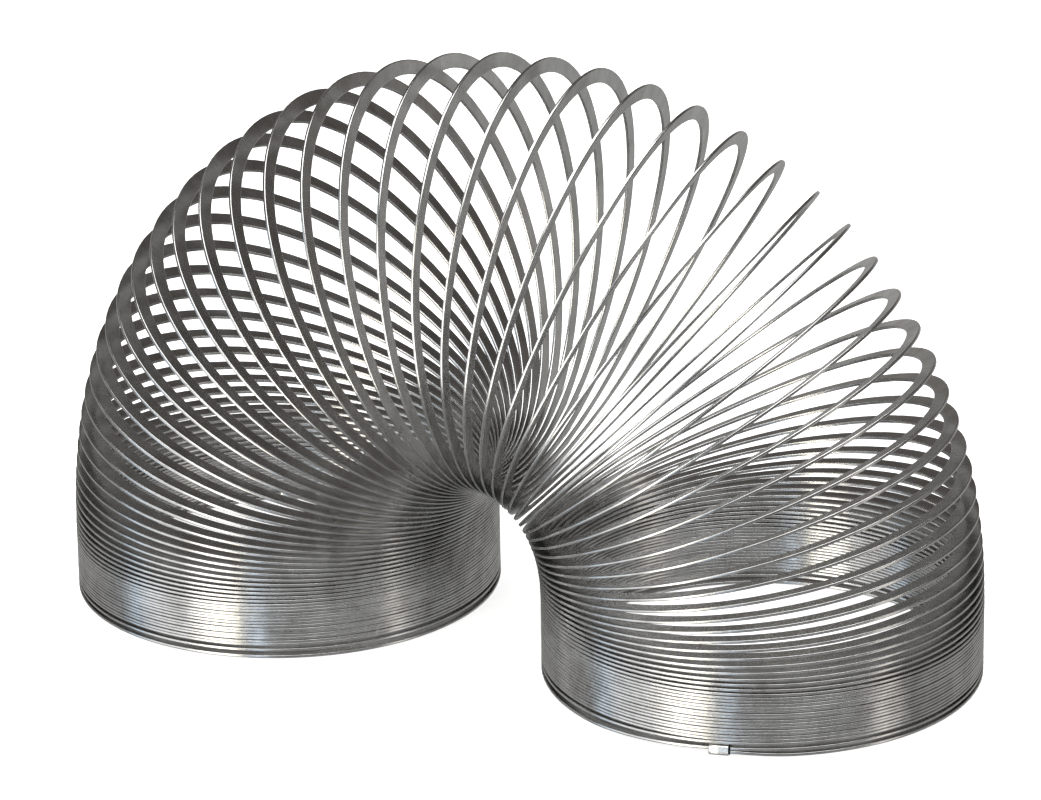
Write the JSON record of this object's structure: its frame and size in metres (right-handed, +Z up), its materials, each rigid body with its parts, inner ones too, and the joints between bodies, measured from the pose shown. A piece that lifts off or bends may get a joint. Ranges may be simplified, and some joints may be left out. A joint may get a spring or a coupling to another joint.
{
  "type": "spring coil toy",
  "caption": "Flat steel wire wound into a close coil, standing as an arch on both ends; its turns fan open over the top and close again into a straight stack.",
  "frame": {"origin": "on the ground, in the middle of the bounding box", "axes": "+X from the left foot to the right foot, +Y across the coil towards its back, +Z up"},
  "size_m": [0.1558, 0.0761, 0.0938],
  "materials": {
    "spring_steel": "bright rolled flat wire with fine lengthwise drawing lines",
    "clip_steel": "bright pressed sheet"
  },
  "bodies": {
    "left_foot": {"left_foot_stack": "spring_steel", "left_end_clip": "clip_steel"},
    "turn_01": {"turn_01": "spring_steel"},
    "turn_02": {"turn_02": "spring_steel"},
    "turn_03": {"turn_03": "spring_steel"},
    "turn_04": {"turn_04": "spring_steel"},
    "turn_05": {"turn_05": "spring_steel"},
    "turn_06": {"turn_06": "spring_steel"},
    "turn_07": {"turn_07": "spring_steel"},
    "turn_08": {"turn_08": "spring_steel"},
    "turn_09": {"turn_09": "spring_steel"},
    "turn_10": {"turn_10": "spring_steel"},
    "turn_11": {"turn_11": "spring_steel"},
    "turn_12": {"turn_12": "spring_steel"},
    "turn_13": {"turn_13": "spring_steel"},
    "turn_14": {"turn_14": "spring_steel"},
    "turn_15": {"turn_15": "spring_steel"},
    "turn_16": {"turn_16": "spring_steel"},
    "turn_17": {"turn_17": "spring_steel"},
    "turn_18": {"turn_18": "spring_steel"},
    "turn_19": {"turn_19": "spring_steel"},
    "turn_20": {"turn_20": "spring_steel"},
    "turn_21": {"turn_21": "spring_steel"},
    "turn_22": {"turn_22": "spring_steel"},
    "turn_23": {"turn_23": "spring_steel"},
    "turn_24": {"turn_24": "spring_steel"},
    "turn_25": {"turn_25": "spring_steel"},
    "turn_26": {"turn_26": "spring_steel"},
    "turn_27": {"turn_27": "spring_steel"},
    "turn_28": {"turn_28": "spring_steel"},
    "turn_29": {"turn_29": "spring_steel"},
    "turn_30": {"turn_30": "spring_steel"},
    "turn_31": {"turn_31": "spring_steel"},
    "turn_32": {"turn_32": "spring_steel"},
    "turn_33": {"turn_33": "spring_steel"},
    "turn_34": {"turn_34": "spring_steel"},
    "turn_35": {"turn_35": "spring_steel"},
    "turn_36": {"turn_36": "spring_steel"},
    "turn_37": {"turn_37": "spring_steel"},
    "turn_38": {"turn_38": "spring_steel"},
    "turn_39": {"turn_39": "spring_steel"},
    "turn_40": {"turn_40": "spring_steel"},
    "turn_41": {"turn_41": "spring_steel"},
    "turn_42": {"turn_42": "spring_steel"},
    "turn_43": {"turn_43": "spring_steel"},
    "turn_44": {"turn_44": "spring_steel"},
    "turn_45": {"turn_45": "spring_steel"},
    "turn_46": {"turn_46": "spring_steel"},
    "turn_47": {"turn_47": "spring_steel"},
    "turn_48": {"turn_48": "spring_steel"},
    "turn_49": {"turn_49": "spring_steel"},
    "turn_50": {"turn_50": "spring_steel"},
    "turn_51": {"turn_51": "spring_steel"},
    "turn_52": {"turn_52": "spring_steel"},
    "turn_53": {"turn_53": "spring_steel"},
    "turn_54": {"turn_54": "spring_steel"},
    "turn_55": {"turn_55": "spring_steel"},
    "turn_56": {"turn_56": "spring_steel"},
    "right_foot": {"right_foot_stack": "spring_steel", "right_end_clip": "clip_steel"}
  },
  "joints": [
    {"name": "fold_01", "type": "hinge", "parent": "left_foot", "child": "turn_01", "pos_m": [-0.00793, 0.003, 0.00917], "axis": [0, -1, 0], "range_deg": [0, 0.09198]},
    {"name": "fold_02", "type": "hinge", "parent": "left_foot", "child": "turn_02", "pos_m": [-0.00793, 0.003, 0.00957], "axis": [0, -1, 0], "range_deg": [0, 0.31734]},
    {"name": "fold_03", "type": "hinge", "parent": "left_foot", "child": "turn_03", "pos_m": [-0.00793, 0.003, 0.00992], "axis": [0, -1, 0], "range_deg": [0, 0.6093]},
    {"name": "fold_04", "type": "hinge", "parent": "left_foot", "child": "turn_04", "pos_m": [-0.00793, 0.003, 0.01028], "axis": [0, -1, 0], "range_deg": [0, 0.9837]},
    {"name": "fold_05", "type": "hinge", "parent": "left_foot", "child": "turn_05", "pos_m": [-0.00793, 0.003, 0.01066], "axis": [0, -1, 0], "range_deg": [0, 1.46]},
    {"name": "fold_06", "type": "hinge", "parent": "left_foot", "child": "turn_06", "pos_m": [-0.00793, 0.003, 0.01105], "axis": [0, -1, 0], "range_deg": [0, 2.06]},
    {"name": "fold_07", "type": "hinge", "parent": "left_foot", "child": "turn_07", "pos_m": [-0.00792, 0.003, 0.01147], "axis": [0, -1, 0], "range_deg": [0, 2.8]},
    {"name": "fold_08", "type": "hinge", "parent": "left_foot", "child": "turn_08", "pos_m": [-0.00791, 0.00299, 0.01189], "axis": [0, -1, 0], "range_deg": [0, 3.71]},
    {"name": "fold_09", "type": "hinge", "parent": "left_foot", "child": "turn_09", "pos_m": [-0.0079, 0.00299, 0.01234], "axis": [0, -1, 0], "range_deg": [0, 4.82]},
    {"name": "fold_10", "type": "hinge", "parent": "left_foot", "child": "turn_10", "pos_m": [-0.00789, 0.00299, 0.01279], "axis": [0, -1, 0], "range_deg": [0, 6.15]},
    {"name": "fold_11", "type": "hinge", "parent": "left_foot", "child": "turn_11", "pos_m": [-0.00788, 0.00298, 0.01325], "axis": [0, -1, 0], "range_deg": [0, 7.74]},
    {"name": "fold_12", "type": "hinge", "parent": "left_foot", "child": "turn_12", "pos_m": [-0.00785, 0.00297, 0.01373], "axis": [0, -1, 0], "range_deg": [0, 9.62]},
    {"name": "fold_13", "type": "hinge", "parent": "left_foot", "child": "turn_13", "pos_m": [-0.00783, 0.00295, 0.01421], "axis": [0, -1, 0], "range_deg": [0, 11.81]},
    {"name": "fold_14", "type": "hinge", "parent": "left_foot", "child": "turn_14", "pos_m": [-0.0078, 0.00292, 0.0147], "axis": [0, -1, 0], "range_deg": [0, 14.34]},
    {"name": "fold_15", "type": "hinge", "parent": "left_foot", "child": "turn_15", "pos_m": [-0.00776, 0.00289, 0.01519], "axis": [0, -1, 0], "range_deg": [0, 17.23]},
    {"name": "fold_16", "type": "hinge", "parent": "left_foot", "child": "turn_16", "pos_m": [-0.00771, 0.00284, 0.01569], "axis": [0, -1, 0], "range_deg": [0, 20.5]},
    {"name": "fold_17", "type": "hinge", "parent": "left_foot", "child": "turn_17", "pos_m": [-0.00765, 0.00278, 0.0162], "axis": [0, -1, 0], "range_deg": [0, 24.16]},
    {"name": "fold_18", "type": "hinge", "parent": "left_foot", "child": "turn_18", "pos_m": [-0.00759, 0.00269, 0.0167], "axis": [0, -1, 0], "range_deg": [0, 28.22]},
    {"name": "fold_19", "type": "hinge", "parent": "left_foot", "child": "turn_19", "pos_m": [-0.00751, 0.00259, 0.01721], "axis": [0, -1, 0], "range_deg": [0, 32.67]},
    {"name": "fold_20", "type": "hinge", "parent": "left_foot", "child": "turn_20", "pos_m": [-0.00742, 0.00246, 0.01772], "axis": [0, -1, 0], "range_deg": [0, 37.5]},
    {"name": "fold_21", "type": "hinge", "parent": "left_foot", "child": "turn_21", "pos_m": [-0.00731, 0.0023, 0.01822], "axis": [0, -1, 0], "range_deg": [0, 42.7]},
    {"name": "fold_22", "type": "hinge", "parent": "left_foot", "child": "turn_22", "pos_m": [-0.0072, 0.00211, 0.01873], "axis": [0, -1, 0], "range_deg": [0, 48.23]},
    {"name": "fold_23", "type": "hinge", "parent": "left_foot", "child": "turn_23", "pos_m": [-0.00706, 0.00188, 0.01923], "axis": [0, -1, 0], "range_deg": [0, 54.05]},
    {"name": "fold_24", "type": "hinge", "parent": "left_foot", "child": "turn_24", "pos_m": [-0.00691, 0.00163, 0.01972], "axis": [0, -1, 0], "range_deg": [0, 60.13]},
    {"name": "fold_25", "type": "hinge", "parent": "left_foot", "child": "turn_25", "pos_m": [-0.00675, 0.00135, 0.02022], "axis": [0, -1, 0], "range_deg": [0, 66.4]},
    {"name": "fold_26", "type": "hinge", "parent": "left_foot", "child": "turn_26", "pos_m": [-0.00656, 0.00105, 0.0207], "axis": [0, -1, 0], "range_deg": [0, 72.81]},
    {"name": "fold_27", "type": "hinge", "parent": "left_foot", "child": "turn_27", "pos_m": [-0.00636, 0.00072, 0.02117], "axis": [0, -1, 0], "range_deg": [0, 79.3]},
    {"name": "fold_28", "type": "hinge", "parent": "left_foot", "child": "turn_28", "pos_m": [-0.00615, 0.00039, 0.02163], "axis": [0, -1, 0], "range_deg": [0, 85.82]},
    {"name": "fold_29", "type": "hinge", "parent": "left_foot", "child": "turn_29", "pos_m": [-0.00592, 0.00005, 0.02209], "axis": [0, -1, 0], "range_deg": [0, 92.32]},
    {"name": "fold_30", "type": "hinge", "parent": "left_foot", "child": "turn_30", "pos_m": [-0.00568, -0.00029, 0.02253], "axis": [0, -1, 0], "range_deg": [0, 98.78]},
    {"name": "fold_31", "type": "hinge", "parent": "left_foot", "child": "turn_31", "pos_m": [-0.00542, -0.00062, 0.02296], "axis": [0, -1, 0], "range_deg": [0, 105.16]},
    {"name": "fold_32", "type": "hinge", "parent": "left_foot", "child": "turn_32", "pos_m": [-0.00514, -0.00094, 0.02338], "axis": [0, -1, 0], "range_deg": [0, 111.44]},
    {"name": "fold_33", "type": "hinge", "parent": "left_foot", "child": "turn_33", "pos_m": [-0.00486, -0.00125, 0.02378], "axis": [0, -1, 0], "range_deg": [0, 117.57]},
    {"name": "fold_34", "type": "hinge", "parent": "left_foot", "child": "turn_34", "pos_m": [-0.00456, -0.00153, 0.02417], "axis": [0, -1, 0], "range_deg": [0, 123.51]},
    {"name": "fold_35", "type": "hinge", "parent": "left_foot", "child": "turn_35", "pos_m": [-0.00425, -0.00178, 0.02455], "axis": [0, -1, 0], "range_deg": [0, 129.22]},
    {"name": "fold_36", "type": "hinge", "parent": "left_foot", "child": "turn_36", "pos_m": [-0.00394, -0.00201, 0.02491], "axis": [0, -1, 0], "range_deg": [0, 134.68]},
    {"name": "fold_37", "type": "hinge", "parent": "left_foot", "child": "turn_37", "pos_m": [-0.00362, -0.0022, 0.02525], "axis": [0, -1, 0], "range_deg": [0, 139.85]},
    {"name": "fold_38", "type": "hinge", "parent": "left_foot", "child": "turn_38", "pos_m": [-0.00331, -0.00237, 0.02557], "axis": [0, -1, 0], "range_deg": [0, 144.7]},
    {"name": "fold_39", "type": "hinge", "parent": "left_foot", "child": "turn_39", "pos_m": [-0.00299, -0.00252, 0.02587], "axis": [0, -1, 0], "range_deg": [0, 149.21]},
    {"name": "fold_40", "type": "hinge", "parent": "left_foot", "child": "turn_40", "pos_m": [-0.00268, -0.00263, 0.02614], "axis": [0, -1, 0], "range_deg": [0, 153.38]},
    {"name": "fold_41", "type": "hinge", "parent": "left_foot", "child": "turn_41", "pos_m": [-0.00238, -0.00273, 0.0264], "axis": [0, -1, 0], "range_deg": [0, 157.18]},
    {"name": "fold_42", "type": "hinge", "parent": "left_foot", "child": "turn_42", "pos_m": [-0.0021, -0.0028, 0.02663], "axis": [0, -1, 0], "range_deg": [0, 160.63]},
    {"name": "fold_43", "type": "hinge", "parent": "left_foot", "child": "turn_43", "pos_m": [-0.00182, -0.00286, 0.02684], "axis": [0, -1, 0], "range_deg": [0, 163.71]},
    {"name": "fold_44", "type": "hinge", "parent": "left_foot", "child": "turn_44", "pos_m": [-0.00157, -0.0029, 0.02702], "axis": [0, -1, 0], "range_deg": [0, 166.45]},
    {"name": "fold_45", "type": "hinge", "parent": "left_foot", "child": "turn_45", "pos_m": [-0.00133, -0.00293, 0.02718], "axis": [0, -1, 0], "range_deg": [0, 168.86]},
    {"name": "fold_46", "type": "hinge", "parent": "left_foot", "child": "turn_46", "pos_m": [-0.00112, -0.00295, 0.02733], "axis": [0, -1, 0], "range_deg": [0, 170.95]},
    {"name": "fold_47", "type": "hinge", "parent": "left_foot", "child": "turn_47", "pos_m": [-0.00092, -0.00297, 0.02745], "axis": [0, -1, 0], "range_deg": [0, 172.74]},
    {"name": "fold_48", "type": "hinge", "parent": "left_foot", "child": "turn_48", "pos_m": [-0.00075, -0.00298, 0.02755], "axis": [0, -1, 0], "range_deg": [0, 174.27]},
    {"name": "fold_49", "type": "hinge", "parent": "left_foot", "child": "turn_49", "pos_m": [-0.0006, -0.00299, 0.02764], "axis": [0, -1, 0], "range_deg": [0, 175.56]},
    {"name": "fold_50", "type": "hinge", "parent": "left_foot", "child": "turn_50", "pos_m": [-0.00047, -0.00299, 0.02772], "axis": [0, -1, 0], "range_deg": [0, 176.63]},
    {"name": "fold_51", "type": "hinge", "parent": "left_foot", "child": "turn_51", "pos_m": [-0.00035, -0.003, 0.02778], "axis": [0, -1, 0], "range_deg": [0, 177.51]},
    {"name": "fold_52", "type": "hinge", "parent": "left_foot", "child": "turn_52", "pos_m": [-0.00026, -0.003, 0.02783], "axis": [0, -1, 0], "range_deg": [0, 178.22]},
    {"name": "fold_53", "type": "hinge", "parent": "left_foot", "child": "turn_53", "pos_m": [-0.00018, -0.003, 0.02787], "axis": [0, -1, 0], "range_deg": [0, 178.8]},
    {"name": "fold_54", "type": "hinge", "parent": "left_foot", "child": "turn_54", "pos_m": [-0.00011, -0.003, 0.0279], "axis": [0, -1, 0], "range_deg": [0, 179.25]},
    {"name": "fold_55", "type": "hinge", "parent": "left_foot", "child": "turn_55", "pos_m": [-0.00006, -0.003, 0.02792], "axis": [0, -1, 0], "range_deg": [0, 179.61]},
    {"name": "fold_56", "type": "hinge", "parent": "left_foot", "child": "turn_56", "pos_m": [-0.00002, -0.003, 0.02794], "axis": [0, -1, 0], "range_deg": [0, 179.89]},
    {"name": "fold", "type": "hinge", "parent": "left_foot", "child": "right_foot", "pos_m": [0, -0.003, 0.02795], "axis": [0, -1, 0], "range_deg": [0, 180]}
  ],
  "couplings": [
    {"joint": "fold_01", "follows": "fold", "ratio": 0.000511},
    {"joint": "fold_02", "follows": "fold", "ratio": 0.001763},
    {"joint": "fold_03", "follows": "fold", "ratio": 0.003385},
    {"joint": "fold_04", "follows": "fold", "ratio": 0.005465},
    {"joint": "fold_05", "follows": "fold", "ratio": 0.008104},
    {"joint": "fold_06", "follows": "fold", "ratio": 0.011418},
    {"joint": "fold_07", "follows": "fold", "ratio": 0.015535},
    {"joint": "fold_08", "follows": "fold", "ratio": 0.020598},
    {"joint": "fold_09", "follows": "fold", "ratio": 0.026757},
    {"joint": "fold_10", "follows": "fold", "ratio": 0.034174},
    {"joint": "fold_11", "follows": "fold", "ratio": 0.043011},
    {"joint": "fold_12", "follows": "fold", "ratio": 0.053433},
    {"joint": "fold_13", "follows": "fold", "ratio": 0.065595},
    {"joint": "fold_14", "follows": "fold", "ratio": 0.079643},
    {"joint": "fold_15", "follows": "fold", "ratio": 0.095701},
    {"joint": "fold_16", "follows": "fold", "ratio": 0.11387},
    {"joint": "fold_17", "follows": "fold", "ratio": 0.13421},
    {"joint": "fold_18", "follows": "fold", "ratio": 0.15676},
    {"joint": "fold_19", "follows": "fold", "ratio": 0.18149},
    {"joint": "fold_20", "follows": "fold", "ratio": 0.20835},
    {"joint": "fold_21", "follows": "fold", "ratio": 0.23722},
    {"joint": "fold_22", "follows": "fold", "ratio": 0.26794},
    {"joint": "fold_23", "follows": "fold", "ratio": 0.30029},
    {"joint": "fold_24", "follows": "fold", "ratio": 0.33404},
    {"joint": "fold_25", "follows": "fold", "ratio": 0.36888},
    {"joint": "fold_26", "follows": "fold", "ratio": 0.4045},
    {"joint": "fold_27", "follows": "fold", "ratio": 0.44057},
    {"joint": "fold_28", "follows": "fold", "ratio": 0.47675},
    {"joint": "fold_29", "follows": "fold", "ratio": 0.51287},
    {"joint": "fold_30", "follows": "fold", "ratio": 0.54876},
    {"joint": "fold_31", "follows": "fold", "ratio": 0.58424},
    {"joint": "fold_32", "follows": "fold", "ratio": 0.61911},
    {"joint": "fold_33", "follows": "fold", "ratio": 0.65315},
    {"joint": "fold_34", "follows": "fold", "ratio": 0.68615},
    {"joint": "fold_35", "follows": "fold", "ratio": 0.7179},
    {"joint": "fold_36", "follows": "fold", "ratio": 0.74822},
    {"joint": "fold_37", "follows": "fold", "ratio": 0.77693},
    {"joint": "fold_38", "follows": "fold", "ratio": 0.80388},
    {"joint": "fold_39", "follows": "fold", "ratio": 0.82897},
    {"joint": "fold_40", "follows": "fold", "ratio": 0.85211},
    {"joint": "fold_41", "follows": "fold", "ratio": 0.87325},
    {"joint": "fold_42", "follows": "fold", "ratio": 0.89238},
    {"joint": "fold_43", "follows": "fold", "ratio": 0.90953},
    {"joint": "fold_44", "follows": "fold", "ratio": 0.92474},
    {"joint": "fold_45", "follows": "fold", "ratio": 0.9381},
    {"joint": "fold_46", "follows": "fold", "ratio": 0.9497},
    {"joint": "fold_47", "follows": "fold", "ratio": 0.95969},
    {"joint": "fold_48", "follows": "fold", "ratio": 0.96818},
    {"joint": "fold_49", "follows": "fold", "ratio": 0.97532},
    {"joint": "fold_50", "follows": "fold", "ratio": 0.98126},
    {"joint": "fold_51", "follows": "fold", "ratio": 0.98614},
    {"joint": "fold_52", "follows": "fold", "ratio": 0.99011},
    {"joint": "fold_53", "follows": "fold", "ratio": 0.99331},
    {"joint": "fold_54", "follows": "fold", "ratio": 0.99584},
    {"joint": "fold_55", "follows": "fold", "ratio": 0.99783},
    {"joint": "fold_56", "follows": "fold", "ratio": 0.99937}
  ]
}
